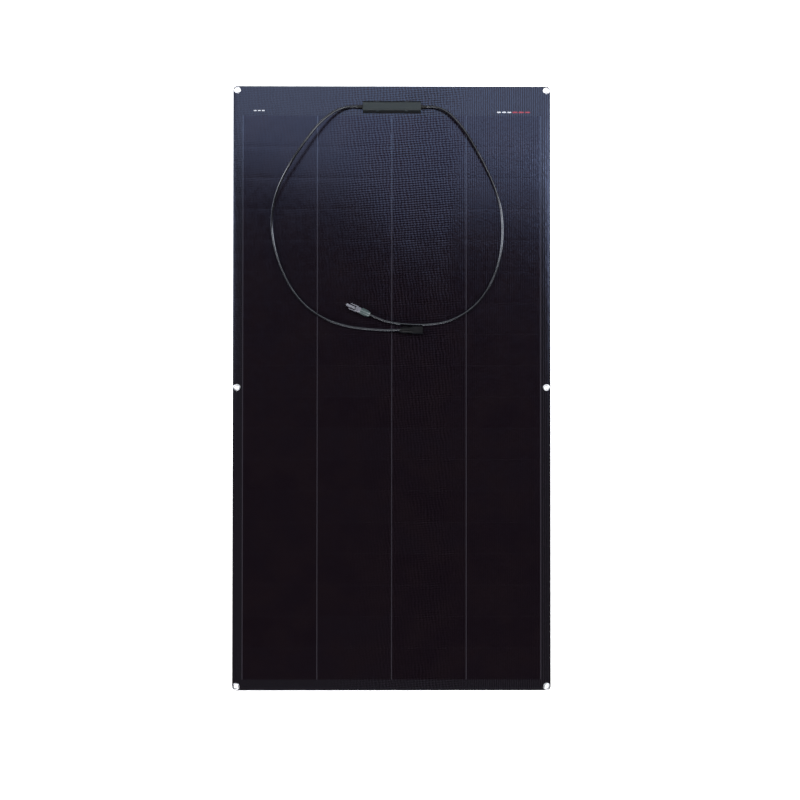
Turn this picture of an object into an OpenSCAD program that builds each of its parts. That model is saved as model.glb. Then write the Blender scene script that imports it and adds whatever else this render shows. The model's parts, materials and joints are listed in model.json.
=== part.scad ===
// Flexible solar sheet: a thin laminate of black solar cells that flexes along its length. It has
// six eyelets, a slim junction box, and two output leads that end in a locking plug and socket.
// The sheet lies face up on z = 0. x runs across it, and +y points to the junction box end.

/* [Sheet] */
// Width of the sheet
sheet_w = 710; // [706:1:730]
// Length of the sheet
sheet_l = 1350; // [1346:1:1370]
// Radius of the sheet's corners
corner_r = 9; // [6:0.5:9]
// Thickness of the fibre-filled back sheet
back_t = 0.8; // [0.7:0.1:1.2]
// Thickness of the encapsulant under the cells
rear_t = 0.4; // [0.2:0.1:0.8]
// Thickness of the encapsulant around and over the cells
front_t = 0.8; // [0.4:0.1:1.2]
// Thickness of the textured front film
film_t = 0.5; // [0.3:0.1:0.8]
// Gap between two stretches of sheet at a bend line
bend_gap = 0.3; // [0.2:0.1:0.6]

/* [Cells] */
// Strings of cells across the sheet
columns = 4; // [4]
// Distance from one string to the next
column_pitch = 166.4; // [164:0.2:168]
// Distance from one row of cells to the next
row_pitch = 70; // [69.6:0.1:70.2]
// Gap between two strings
column_gap = 1.2; // [0.6:0.1:2]
// Gap between two rows
row_gap = 0.4; // [0.2:0.1:1]
// Thickness of a cell
cell_t = 0.2; // [0.15:0.01:0.25]
// Distance from the sheet's upper edge to the first row
cells_from_top = 66; // [65:0.5:68]

/* [Eyelets] */
// Distance from an eyelet's centre to the sheet's edges
eyelet_inset = 9; // [9:0.5:12]
// Radius of the hole through an eyelet
eyelet_hole_r = 4; // [3:0.1:4.2]
// Outer radius of the eyelet's barrel
barrel_r = 4.6; // [4.4:0.1:5]
// Outer radius of the eyelet's front flange
flange_r = 7.6; // [7:0.1:8]
// Thickness of the front flange
flange_t = 0.8; // [0.5:0.1:1.2]
// Outer radius of the washer in the back sheet
washer_r = 7; // [6.5:0.1:7.5]
// Thickness of the washer in the back sheet
washer_t = 0.6; // [0.4:0.1:0.6]

/* [Junction box] */
// Length of the box, across the sheet
box_l = 130; // [128:1:136]
// Depth of the box, along the sheet
box_d = 27; // [26:0.5:30]
// Distance from the sheet's upper edge to the middle of the box
box_from_top = 47; // [47]
// Height of the tray's rim above the front film
tray_h = 9.5; // [9.5:0.1:11]
// Height of the lid
lid_h = 3.5; // [3:0.1:5]
// Thickness of the sealant under the box
pad_t = 0.5; // [0.3:0.1:1]

/* [Leads] */
// Diameter of a lead
lead_d = 5.7; // [5.5:0.1:5.7]
// Length of the rubber boot outside the box
boot_l = 12; // [10:0.5:16]

/* [Connectors] */
// Grip radius of the gland nuts, over their ribs
nut_r = 7.4; // [7.2:0.1:7.8]
// Length of a gland nut
nut_l = 22.7; // [22.7]
// Radius of the plug's pin
pin_r = 2; // [1.5:0.05:2]
// Radius of the socket's bore
socket_r = 2.05; // [2.05:0.05:2.2]

/* [Hidden] */
$fn = 48;

// Rows of cells on each stretch of sheet: the head first, then the four that bend
stretch_rows = [8, 3, 3, 3, 1];
last = len(stretch_rows) - 1;

// Heights of the laminate's layers
rear_z = back_t;
cell_z = rear_z + rear_t;
film_z = cell_z + front_t;
face_z = film_z + film_t;

half_w = sheet_w / 2;
half_l = sheet_l / 2;
cells_top = half_l - cells_from_top;
function rows_before(i) = i == 0 ? 0 : stretch_rows[i - 1] + rows_before(i - 1);
cells_end = cells_top - rows_before(last + 1) * row_pitch;
function bend_y(i) = cells_top - rows_before(i) * row_pitch;
function upper_y(i) = i == 0 ? half_l : bend_y(i) - bend_gap / 2;
function lower_y(i) = i == last ? -half_l : bend_y(i + 1) + bend_gap / 2;

// Eyelet centres, by stretch: two at the head, two at mid-length, two at the far end
eyelet_x = half_w - eyelet_inset;
eyelet_y = half_l - eyelet_inset;
function eyelets_at(y) = [for (side = [-1, 1]) [side * eyelet_x, y]];
function eyelets_of(i) = i == 0 ? eyelets_at(eyelet_y) : i == 1 ? eyelets_at(0) :
    i == last ? eyelets_at(-eyelet_y) : [];

// Junction box
box_y = half_l - box_from_top;
tray_z = face_z + pad_t;
rim_z = face_z + tray_h;
foot_h = 1.5;
floor_z = tray_z + foot_h;
rim_d = 18;
rim_wall = 1.9;
foot_wall = 2.5;
end_wall = 2.5;
wall_run = (box_d - rim_d) / 2 / (rim_z - floor_z);
function wall_y(z) = rim_d / 2 + (rim_z - z) * wall_run;
seal_w = 0.8;
seal_h = 0.8;
seal_in = rim_d / 2 - rim_wall + 0.6;
tab_x = 32;
tab_w = 6;

// Terminals in the tray, on three rails
rail_t = 0.8;
rail_top = floor_z + rail_t;
rails_x = [[-57, -29], [-17, 17], [29, 57]];
rail_y0 = box_y - 4;
rail_y1 = box_y + 8;
slot_y = box_y - 5;
slots_x = [-38, 0, 38];
slot_size = [7, 1.6];
ribbon_w = 5;
riser_t = 0.3;
bus_w = 5;
core_r = 1.3;
clamp_x = 49;
clamp_size = [6, 7, 5.3];

// Leads
lead_r = lead_d / 2;
lead_bore_r = 2.9;
gland_z = floor_z + 3.35;
neck_r = 3.3;
boot_x = box_l / 2 + boot_l;
tail_x = 57.3;
lead_lie = face_z + lead_r + 0.1;

// Connectors: the x axis runs from the nut's rear face to the tip
plug_z = face_z + nut_r + 0.4;
socket_angle = 156;
socket_pos = [-49, 162, plug_z];
plug_pos = [17, 128, plug_z];
lead_seat = 24;
body_x = nut_l + 0.3;
body_w = 14.4;
body_h = 2 * (plug_z - face_z);
socket_face = 34;
probe_end = 57;
probe_r = 3.2;
contact_r = 2.6;
finger_x = socket_face + 0.3;
barrel_end = 52;

// Routes of the two leads, from the boots' mouths to the gland nuts
left_route = [
    [-77, 628, gland_z], [-91, 627.8, 8.2], [-112, 622.5, 13.5], [-135, 608.5, 25],
    [-164, 579.5, 39], [-196, 536.5, 45], [-224.5, 493, 43], [-248, 450.5, 32],
    [-263.5, 406, 17.5], [-268, 358.5, 7.5], [-261, 310, lead_lie], [-245.5, 263, lead_lie],
    [-222, 218, lead_lie], [-188, 179, lead_lie], [-144, 151, lead_lie], [-95, 136, lead_lie],
    [-47, 130, 5.7], [-12, 128, 8], [7, 128, plug_z], [17, 128, plug_z]
];
right_route = [
    [77, 628, gland_z], [91, 627.8, 8.2], [112, 621.8, 10.8], [133.5, 607, 13.6],
    [158.5, 578.5, 15.4], [184, 539, 13], [208, 495.5, 8.8], [229.5, 448.5, 6],
    [243.5, 400.5, lead_lie], [247.5, 351, lead_lie], [243.5, 301, lead_lie],
    [229.5, 251.5, lead_lie], [205, 206, lead_lie], [169, 170, lead_lie],
    [123.5, 147.5, lead_lie], [73, 140.3, lead_lie], [24, 141.6, 5.7], [-12, 147.6, 7.8],
    [-34, 155.4, 10.1], [-49, 162, plug_z]
];
ring_step = 24;
lead_sides = 12;

// ---- laminate ----

module corner_trim(side_x, side_y) {
    translate([side_x * (half_w - corner_r), side_y * (half_l - corner_r)])
        difference() {
            translate([side_x * corner_r, side_y * corner_r])
                square(2 * corner_r, center = true);
            circle(corner_r);
        }
}

// Outline of stretch i, with holes of radius hole_r at its eyelets
module stretch_outline(i, hole_r) {
    difference() {
        translate([-half_w, lower_y(i)])
            square([sheet_w, upper_y(i) - lower_y(i)]);
        if (i == 0 || i == last)
            for (side_x = [-1, 1])
                corner_trim(side_x, i == 0 ? 1 : -1);
        for (p = eyelets_of(i))
            translate(p)
                circle(hole_r);
    }
}

module stretch_layer(i, z, t) {
    translate([0, 0, z])
        linear_extrude(t)
            stretch_outline(i, barrel_r);
}

module ribbon_slots(z0, z1) {
    for (x = slots_x)
        translate([x - slot_size.x / 2, slot_y - slot_size.y / 2, z0])
            cube([slot_size.x, slot_size.y, z1 - z0]);
}

module back_sheet(i) {
    color([0.09, 0.09, 0.1])
        difference() {
            stretch_layer(i, 0, back_t);
            for (p = eyelets_of(i))
                translate([p.x, p.y, -1])
                    cylinder(h = 1 + washer_t, r = washer_r);
        }
}

module rear_encapsulant(i) {
    color([0.75, 0.77, 0.8])
        stretch_layer(i, rear_z, rear_t);
}

module cell_tiles(i) {
    for (column = [0 : columns - 1], row = [0 : stretch_rows[i] - 1])
        translate([
            (column - columns / 2) * column_pitch + column_gap / 2,
            cells_top - (rows_before(i) + row + 1) * row_pitch + row_gap / 2,
            cell_z
        ])
            cube([column_pitch - column_gap, row_pitch - row_gap, cell_t]);
}

module cells(i) {
    color([0.03, 0.03, 0.05])
        cell_tiles(i);
}

module bus_bar(x0, x1, y0, y1) {
    translate([x0, y0, cell_z])
        cube([x1 - x0, y1 - y0, cell_t]);
}

// The two middle strings are joined over the head and tapped at the middle rail. The two outer
// strings run up past that bar and in to the outer rails.
module head_bars() {
    outer = 2 * column_pitch - 10;
    inner = column_pitch + 6;
    tap_y = slot_y + bus_w / 2;
    bus_bar(-column_pitch + 6, column_pitch - 6, cells_top, cells_top + bus_w);
    bus_bar(-bus_w / 2, bus_w / 2, cells_top + bus_w, tap_y);
    for (side = [-1, 1]) {
        link = side * (inner + bus_w / 2);
        tap = side * (slots_x[2] - bus_w / 2);
        bus_bar(min(side * inner, side * outer), max(side * inner, side * outer), cells_top,
            cells_top + bus_w);
        bus_bar(link - bus_w / 2, link + bus_w / 2, cells_top + bus_w, tap_y);
        bus_bar(min(tap, side * inner), max(tap, side * inner), tap_y - bus_w, tap_y);
    }
}

module end_bars() {
    for (side = [-1, 1]) {
        outer = side * (2 * column_pitch - 10);
        bus_bar(min(side * 10, outer), max(side * 10, outer), cells_end - bus_w, cells_end);
    }
}

module bus_ribbons_head() {
    color("silver")
        head_bars();
}

module bus_ribbons_end() {
    color("silver")
        end_bars();
}

module front_encapsulant(i) {
    color([0.16, 0.17, 0.22])
        difference() {
            stretch_layer(i, cell_z, front_t);
            cell_tiles(i);
            if (i == 0) {
                head_bars();
                ribbon_slots(cell_z + cell_t / 2, film_z + 1);
            }
            if (i == last)
                end_bars();
        }
}

module front_film(i) {
    color([0.1, 0.11, 0.16])
        difference() {
            stretch_layer(i, film_z, film_t);
            if (i == 0)
                ribbon_slots(film_z - 1, face_z + 1);
        }
}

// ---- eyelets ----

module eyelets(i) {
    color([0.85, 0.85, 0.86])
        for (p = eyelets_of(i))
            translate([p.x, p.y, 0])
                difference() {
                    union() {
                        cylinder(h = face_z, r = barrel_r);
                        translate([0, 0, face_z])
                            cylinder(h = flange_t, r = flange_r);
                    }
                    translate([0, 0, -1])
                        cylinder(h = face_z + flange_t + 2, r = eyelet_hole_r);
                }
}

module washers(i) {
    color([0.7, 0.7, 0.72])
        for (p = eyelets_of(i))
            translate([p.x, p.y, 0])
                difference() {
                    cylinder(h = washer_t, r = washer_r);
                    translate([0, 0, -1])
                        cylinder(h = washer_t + 2, r = barrel_r);
                }
}

// ---- junction box ----

// Extrudes a profile drawn in y and z along x, from -half to half, about the middle of the box
module along_box(half) {
    translate([-half, box_y, 0])
        rotate([90, 0, 90])
            linear_extrude(2 * half)
                children();
}

// A block in the tray, from its low corner and size, with y counted from the middle of the box
module box_block(corner, size) {
    translate([corner.x, box_y + corner.y, corner.z])
        cube(size);
}

module box_sealant() {
    color([0.12, 0.12, 0.13])
        difference() {
            box_block([1 - box_l / 2, 1 - box_d / 2, face_z], [box_l - 2, box_d - 2, pad_t]);
            ribbon_slots(face_z - 1, tray_z + 1);
        }
}

module tray_profile() {
    polygon([
        [-box_d / 2, tray_z], [box_d / 2, tray_z], [box_d / 2, floor_z], [rim_d / 2, rim_z],
        [-rim_d / 2, rim_z], [-box_d / 2, floor_z]
    ]);
}

module tray_hollow_profile() {
    low = box_d / 2 - foot_wall;
    high = rim_d / 2 - rim_wall;
    over = 1;
    polygon([
        [-low, floor_z], [low, floor_z], [high, rim_z], [high, rim_z + over],
        [-high, rim_z + over], [-high, rim_z]
    ]);
}

// The rubber ring in the groove of the rim
module seal_ring() {
    end_in = box_l / 2 - end_wall + 0.8;
    difference() {
        box_block([-end_in - seal_w, -seal_in - seal_w, rim_z - seal_h],
            [2 * (end_in + seal_w), 2 * (seal_in + seal_w), seal_h]);
        box_block([-end_in, -seal_in, rim_z - seal_h - 1], [2 * end_in, 2 * seal_in, seal_h + 2]);
    }
}

// Ledges on the long walls that the lid's tabs snap over
module catches() {
    high = rim_z - 3;
    for (side = [-1, 1], x = [-tab_x, tab_x])
        translate([x - tab_w / 2 + 0.5, box_y, 0])
            rotate([90, 0, 90])
                linear_extrude(tab_w - 1)
                    polygon([
                        [side * (wall_y(high) - 0.4), high], [side * (wall_y(high) + 0.9), high - 0.4],
                        [side * (wall_y(high - 2) + 0.1), high - 2],
                        [side * (wall_y(high - 2) - 0.4), high - 2]
                    ]);
}

module box_tray() {
    color([0.2, 0.22, 0.23])
        difference() {
            union() {
                along_box(box_l / 2)
                    tray_profile();
                catches();
            }
            along_box(box_l / 2 - end_wall)
                tray_hollow_profile();
            seal_ring();
            ribbon_slots(tray_z - 1, floor_z + 1);
            translate([-box_l / 2 - 1, box_y, gland_z])
                rotate([0, 90, 0])
                    cylinder(h = box_l + 2, r = neck_r);
        }
}

module lid_seal() {
    color([0.08, 0.08, 0.08])
        seal_ring();
}

module lid_tab(side) {
    gap = 0.35;
    low = rim_z - 2.4;
    polygon([
        [side * (rim_d / 2 - 0.2), rim_z], [side * (wall_y(rim_z) + gap), rim_z],
        [side * (wall_y(low) + gap), low], [side * (wall_y(low) + gap + 1.1), low],
        [side * (rim_d / 2 + 1.3), rim_z + 0.7], [side * (rim_d / 2 - 0.2), rim_z + 0.7]
    ]);
}

module box_lid() {
    lip = rim_d / 2 + 0.2;
    crown = 6.4;
    inner = rim_d / 2 - 1.6;
    color([0.25, 0.28, 0.29])
        difference() {
            union() {
                along_box(box_l / 2 - 0.4)
                    polygon([
                        [-lip, rim_z], [lip, rim_z], [lip, rim_z + 0.8], [crown, rim_z + lid_h],
                        [-crown, rim_z + lid_h], [-lip, rim_z + 0.8]
                    ]);
                for (side = [-1, 1], x = [-tab_x, tab_x])
                    translate([x - tab_w / 2, box_y, 0])
                        rotate([90, 0, 90])
                            linear_extrude(tab_w)
                                lid_tab(side);
            }
            along_box(box_l / 2 - end_wall)
                polygon([
                    [-inner, rim_z - 0.1], [inner, rim_z - 0.1], [inner, rim_z + 0.6],
                    [crown - 1.2, rim_z + lid_h - 1.6], [1.2 - crown, rim_z + lid_h - 1.6],
                    [-inner, rim_z + 0.6]
                ]);
        }
}

module terminal_rails() {
    color([0.8, 0.55, 0.35])
        for (x = rails_x)
            translate([x[0], rail_y0, floor_z])
                cube([x[1] - x[0], rail_y1 - rail_y0, rail_t]);
}

// A diode's body fills the gap between two rails, and a tab at each end lies on them
module bypass_diodes() {
    body = [9, 8, 2.4];
    tab = [3.5, 5, 0.4];
    color([0.1, 0.1, 0.1])
        for (side = [-1, 1])
            translate([side * (rails_x[2][0] + rails_x[1][1]) / 2, box_y, rail_top]) {
                translate([-body.x / 2, -body.y / 2, 0])
                    cube(body);
                translate([-body.x / 2 - tab.x, -tab.y / 2, 0])
                    cube([body.x + 2 * tab.x, tab.y, tab.z]);
            }
}

module conductor_clamps() {
    color("silver")
        for (side = [-1, 1])
            difference() {
                box_block([side * clamp_x - clamp_size.x / 2, -clamp_size.y / 2, rail_top],
                    clamp_size);
                translate([side * clamp_x, box_y, gland_z])
                    rotate([0, 90, 0])
                        cylinder(h = clamp_size.x + 2, r = core_r, center = true);
            }
}

module lead_conductors() {
    start_x = clamp_x - clamp_size.x / 2;
    color([0.85, 0.5, 0.3])
        for (side = [-1, 1])
            translate([side * (start_x + tail_x) / 2, box_y, gland_z])
                rotate([0, 90, 0])
                    cylinder(h = tail_x - start_x, r = core_r, center = true);
}

// Each ribbon rises from a bus bar through the slots and folds over onto its rail
module output_ribbons() {
    color("silver")
        for (x = slots_x) {
            translate([x - ribbon_w / 2, slot_y, cell_z + cell_t])
                cube([ribbon_w, riser_t, rail_top + riser_t - cell_z - cell_t]);
            translate([x - ribbon_w / 2, slot_y, rail_top])
                cube([ribbon_w, 3.8 - riser_t, riser_t]);
        }
}

module gland_boots() {
    wall_in = box_l / 2 - end_wall;
    color([0.07, 0.07, 0.08])
        for (side = [-1, 1])
            translate([0, box_y, gland_z])
                rotate([0, side * 90, 0])
                    rotate_extrude()
                        polygon([
                            [lead_bore_r, wall_in - 2], [neck_r, wall_in - 2], [neck_r, box_l / 2],
                            [neck_r + 0.9, box_l / 2], [neck_r + 0.9, box_l / 2 + 3],
                            [neck_r, boot_x], [lead_bore_r, boot_x]
                        ]);
}

// ---- leads ----

// The point between b and c at t, on a smooth curve through a, b, c and d
function curve_point(a, b, c, d, t) =
    (2 * b + (c - a) * t + (2 * a - 5 * b + 4 * c - d) * t * t + (3 * b - a - 3 * c + d) * t * t * t) / 2;
function path_point(path, i) =
    i < 0 ? 2 * path[0] - path[1] :
    i >= len(path) ? 2 * path[len(path) - 1] - path[len(path) - 2] : path[i];
function span_rings(path, i) = max(1, round(norm(path[i + 1] - path[i]) / ring_step));
function smooth_path(path) = concat(
    [for (i = [0 : len(path) - 2], k = [0 : span_rings(path, i) - 1])
        curve_point(path_point(path, i - 1), path[i], path[i + 1], path_point(path, i + 2),
            k / span_rings(path, i))],
    [path[len(path) - 1]]
);
function unit(v) = v / norm(v);
function heading(points, i) =
    unit(points[min(i + 1, len(points) - 1)] - points[max(i - 1, 0)]);
function ring(centre, along, r) =
    let (side = unit(cross([0, 0, 1], along)), up = cross(along, side))
    [for (k = [0 : lead_sides - 1])
        centre + r * (cos(360 * k / lead_sides) * side + sin(360 * k / lead_sides) * up)];

module swept_lead(path) {
    points = smooth_path(path);
    n = lead_sides;
    rings = len(points);
    polyhedron(
        points = [for (i = [0 : rings - 1]) each ring(points[i], heading(points, i), lead_r)],
        faces = concat(
            [[for (k = [0 : n - 1]) k]],
            [for (i = [0 : rings - 2], k = [0 : n - 1])
                [i * n + k, (i + 1) * n + k, (i + 1) * n + (k + 1) % n, i * n + (k + 1) % n]],
            [[for (k = [n - 1 : -1 : 0]) (rings - 1) * n + k]]
        )
    );
}

// Each lead's path goes on straight into the box at one end and into its connector at the other
module lead_left() {
    color([0.12, 0.12, 0.13])
        swept_lead(concat([[-tail_x, box_y, gland_z]], left_route,
            [plug_pos + [lead_seat, 0, 0]]));
}

module lead_right() {
    color([0.12, 0.12, 0.13])
        swept_lead(concat([[tail_x, box_y, gland_z]], right_route,
            [socket_pos + lead_seat * [cos(socket_angle), sin(socket_angle), 0]]));
}

// ---- connectors ----

module at_socket() {
    translate(socket_pos)
        rotate([0, 0, socket_angle])
            children();
}

module at_plug() {
    translate(plug_pos)
        children();
}

// Turns a profile of [radius, x] points about the connector's axis
module turned(profile) {
    rotate([90, 0, 90])
        rotate_extrude()
            polygon(profile);
}

module bored(x0, x1, r) {
    translate([x0, 0, 0])
        rotate([0, 90, 0])
            cylinder(h = x1 - x0, r = r);
}

// A collar with flat sides and rounded corners
module collar(x0, x1, w, h, r) {
    intersection() {
        translate([x0, -w / 2, -h / 2])
            cube([x1 - x0, w, h]);
        bored(x0, x1, r);
    }
}

module gland_nut() {
    ribs = 12;
    rib_w = 1.6;
    skin = nut_r - 0.6;
    color([0.42, 0.46, 0.46]) {
        turned([
            [3.2, 0], [4.9, 0], [skin - 0.5, 4], [skin, 7], [skin, nut_l], [5.9, nut_l], [5.9, 9],
            [4.6, 9], [4.6, 3], [3.2, 3]
        ]);
        for (k = [0 : ribs - 1])
            rotate([k * 360 / ribs, 0, 0])
                translate([8, -rib_w / 2, skin - 0.4])
                    cube([nut_l - 10, rib_w, 1]);
    }
}

module cable_seal() {
    color([0.1, 0.1, 0.1])
        turned([[2.9, 10], [4.25, 10], [4.25, 20.5], [2.9, 20.5]]);
}

module clamp_cage() {
    slits = 6;
    color([0.85, 0.85, 0.82])
        difference() {
            turned([[2.95, 3.3], [3.9, 3.3], [4.2, 5], [4.2, 9.5], [2.95, 9.5]]);
            for (k = [0 : slits - 1])
                rotate([k * 360 / slits, 0, 0])
                    translate([2, -0.4, 2])
                        cube([5.5, 0.8, 3]);
        }
}

// The threaded spigot behind a housing's body, and the hollow that holds the cable seal
module spigot() {
    bored(9.6, body_x + 1, 5.6);
}

module cable_hollow() {
    bored(9, 21, 4.3);
    bored(20, 26, lead_bore_r);
}

module socket_housing() {
    color([0.6, 0.61, 0.63])
        at_socket()
            difference() {
                union() {
                    spigot();
                    collar(body_x, socket_face - 3, body_w - 2.4, body_h - 2.4, 7.6);
                    collar(socket_face - 4, socket_face, body_w, body_h, 8.9);
                    bored(socket_face - 1, probe_end, probe_r);
                }
                cable_hollow();
                bored(25, probe_end + 1, contact_r + 0.05);
            }
}

module socket_contact() {
    color([0.8, 0.8, 0.78])
        at_socket()
            difference() {
                bored(26, probe_end - 2.2, contact_r);
                bored(25, 31, core_r);
                bored(36, probe_end, socket_r);
            }
}

module socket_nose_seal() {
    seal_r = 0.6;
    color([0.1, 0.1, 0.1])
        at_socket()
            translate([socket_face + 1.4, 0, 0])
                rotate([0, 90, 0])
                    rotate_extrude()
                        translate([probe_r + seal_r, 0])
                            circle(seal_r);
}

// A sprung arm beside the probe, with a barb that catches in the plug's window
module latch_finger(side) {
    finger_h = 5.2;
    color([0.6, 0.61, 0.63])
        at_socket()
            translate([0, 0, -finger_h / 2])
                linear_extrude(finger_h)
                    polygon([
                        [finger_x, side * 5], [socket_face + 15, side * 5.3],
                        [socket_face + 15, side * 6.2], [socket_face + 11.2, side * 7.9],
                        [socket_face + 11.2, side * 6.8], [socket_face + 2.2, side * 6.8],
                        [socket_face + 1.2, side * 7.2], [finger_x, side * 7.2]
                    ]);
}

module plug_housing() {
    barrel_w = 17.2;
    barrel_h = 12.4;
    channel_w = 14.8;
    channel_h = 6;
    window_x = barrel_end - 14.8;
    color([0.1, 0.1, 0.11])
        at_plug()
            difference() {
                union() {
                    spigot();
                    collar(body_x, body_x + 7, body_w, body_h, 8.9);
                    collar(body_x + 6, barrel_end, barrel_w, barrel_h, 9.4);
                }
                cable_hollow();
                bored(24, barrel_end, contact_r + 0.05);
                bored(31, barrel_end + 1, 4.1);
                translate([34, -channel_w / 2, -channel_h / 2])
                    cube([barrel_end, channel_w, channel_h]);
                translate([window_x, -barrel_w / 2 - 1, -channel_h / 2])
                    cube([4.4, barrel_w + 2, channel_h]);
            }
}

module plug_pin() {
    color([0.8, 0.8, 0.78])
        at_plug()
            difference() {
                union() {
                    bored(24.5, 31, contact_r);
                    bored(30, 45, pin_r);
                    turned([[0, 45], [pin_r, 45], [pin_r - 0.7, 46], [0, 46]]);
                }
                bored(24, 29, core_r);
            }
}

back_sheet(0);  // back_sheet_head
back_sheet(1);  // back_sheet_1
back_sheet(2);  // back_sheet_2
back_sheet(3);  // back_sheet_3
back_sheet(4);  // back_sheet_4
rear_encapsulant(0);  // rear_encapsulant_head
rear_encapsulant(1);  // rear_encapsulant_1
rear_encapsulant(2);  // rear_encapsulant_2
rear_encapsulant(3);  // rear_encapsulant_3
rear_encapsulant(4);  // rear_encapsulant_4
cells(0);  // cells_head
cells(1);  // cells_1
cells(2);  // cells_2
cells(3);  // cells_3
cells(4);  // cells_4
front_encapsulant(0);  // front_encapsulant_head
front_encapsulant(1);  // front_encapsulant_1
front_encapsulant(2);  // front_encapsulant_2
front_encapsulant(3);  // front_encapsulant_3
front_encapsulant(4);  // front_encapsulant_4
front_film(0);  // front_film_head
front_film(1);  // front_film_1
front_film(2);  // front_film_2
front_film(3);  // front_film_3
front_film(4);  // front_film_4
bus_ribbons_head();
bus_ribbons_end();
eyelets(0);  // eyelets_head
eyelets(1);  // eyelets_middle
eyelets(last);  // eyelets_end
washers(0);  // washers_head
washers(1);  // washers_middle
washers(last);  // washers_end
box_sealant();
box_tray();
terminal_rails();
bypass_diodes();
conductor_clamps();
output_ribbons();
lead_conductors();
lid_seal();
box_lid();
gland_boots();
lead_left();
lead_right();
socket_housing();
socket_contact();
socket_nose_seal();
latch_finger(-1);  // latch_finger_a
latch_finger(1);  // latch_finger_b
at_socket() cable_seal();  // socket_cable_seal
at_socket() clamp_cage();  // socket_clamp_cage
at_socket() gland_nut();  // socket_gland_nut
plug_housing();
plug_pin();
at_plug() cable_seal();  // plug_cable_seal
at_plug() clamp_cage();  // plug_clamp_cage
at_plug() gland_nut();  // plug_gland_nut
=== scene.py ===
"""Looks of the flexible solar sheet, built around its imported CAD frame.

Lengths are in metres. A name that ends in _mm is in millimetres and is turned into metres by mm.
"""

import json
import math

import bmesh
import bpy
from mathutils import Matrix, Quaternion, Vector


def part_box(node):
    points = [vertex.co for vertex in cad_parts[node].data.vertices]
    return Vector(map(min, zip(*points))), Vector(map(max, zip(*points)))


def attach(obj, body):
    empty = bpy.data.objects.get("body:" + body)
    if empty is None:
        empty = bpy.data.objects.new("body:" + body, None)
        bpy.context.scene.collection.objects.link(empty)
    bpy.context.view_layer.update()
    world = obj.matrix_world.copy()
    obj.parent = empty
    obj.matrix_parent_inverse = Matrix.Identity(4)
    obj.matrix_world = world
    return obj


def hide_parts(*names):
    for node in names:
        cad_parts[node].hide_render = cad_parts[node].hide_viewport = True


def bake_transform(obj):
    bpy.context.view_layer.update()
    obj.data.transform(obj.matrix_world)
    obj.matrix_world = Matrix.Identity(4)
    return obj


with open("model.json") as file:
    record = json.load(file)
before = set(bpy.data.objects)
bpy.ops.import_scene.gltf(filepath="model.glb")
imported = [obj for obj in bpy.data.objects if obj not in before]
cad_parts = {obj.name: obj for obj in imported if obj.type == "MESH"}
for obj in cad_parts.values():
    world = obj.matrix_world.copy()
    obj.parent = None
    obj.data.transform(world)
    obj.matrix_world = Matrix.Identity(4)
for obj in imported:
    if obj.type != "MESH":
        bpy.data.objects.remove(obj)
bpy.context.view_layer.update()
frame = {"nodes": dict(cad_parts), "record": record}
mm = 0.001

# ---- camera ----

camera_data = bpy.data.cameras.new("camera")
camera_data.lens = 60
camera_data.sensor_width = 36
camera = bpy.data.objects.new("camera", camera_data)
camera.location = (-0.0013, -0.0672, 2.981)
camera.rotation_euler = (0.01315, -0.00668, 0.00065)
bpy.context.scene.collection.objects.link(camera)
bpy.context.scene.camera = camera

# ---- leads ----

LEAD_DIAMETER = 5.7 * mm
TAIL_X_MM = 57.3
SEAT_MM = 24
GLAND_Z_MM = 7.85
LIE_Z_MM = 5.45
PLUG_Z_MM = 10.3
BOX_Y_MM = 628
SOCKET_ANGLE = math.radians(156)

# Points of the two leads, from the boots' mouths to the gland nuts, in millimetres
LEFT_ROUTE_MM = [
    (-77, 628, GLAND_Z_MM), (-91, 627.8, 8.2), (-112, 622.5, 13.5), (-135, 608.5, 25),
    (-164, 579.5, 39), (-196, 536.5, 45), (-224.5, 493, 43), (-248, 450.5, 32),
    (-263.5, 406, 17.5), (-268, 358.5, 7.5), (-261, 310, LIE_Z_MM), (-245.5, 263, LIE_Z_MM),
    (-222, 218, LIE_Z_MM), (-188, 179, LIE_Z_MM), (-144, 151, LIE_Z_MM), (-95, 136, LIE_Z_MM),
    (-47, 130, 5.7), (-12, 128, 8), (7, 128, PLUG_Z_MM), (17, 128, PLUG_Z_MM),
]
RIGHT_ROUTE_MM = [
    (77, 628, GLAND_Z_MM), (91, 627.8, 8.2), (112, 621.8, 10.8), (133.5, 607, 13.6),
    (158.5, 578.5, 15.4), (184, 539, 13), (208, 495.5, 8.8), (229.5, 448.5, 6),
    (243.5, 400.5, LIE_Z_MM), (247.5, 351, LIE_Z_MM), (243.5, 301, LIE_Z_MM),
    (229.5, 251.5, LIE_Z_MM), (205, 206, LIE_Z_MM), (169, 170, LIE_Z_MM),
    (123.5, 147.5, LIE_Z_MM), (73, 140.3, LIE_Z_MM), (24, 141.6, 5.7), (-12, 147.6, 7.8),
    (-34, 155.4, 10.1), (-49, 162, PLUG_Z_MM),
]


def smooth_path(path, step):
    """Points about step apart on a smooth curve that passes through every point of path."""
    ends = [2 * path[0] - path[1], *path, 2 * path[-1] - path[-2]]
    points = []
    for a, b, c, d in zip(ends, ends[1:], ends[2:], ends[3:]):
        count = max(1, round((c - b).length / step))
        for t in (k / count for k in range(count)):
            square, cube = t * t, t * t * t
            points.append((2 * b + (c - a) * t + (2 * a - 5 * b + 4 * c - d) * square
                           + (3 * b - a - 3 * c + d) * cube) / 2)
    return points + [path[-1]]


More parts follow.
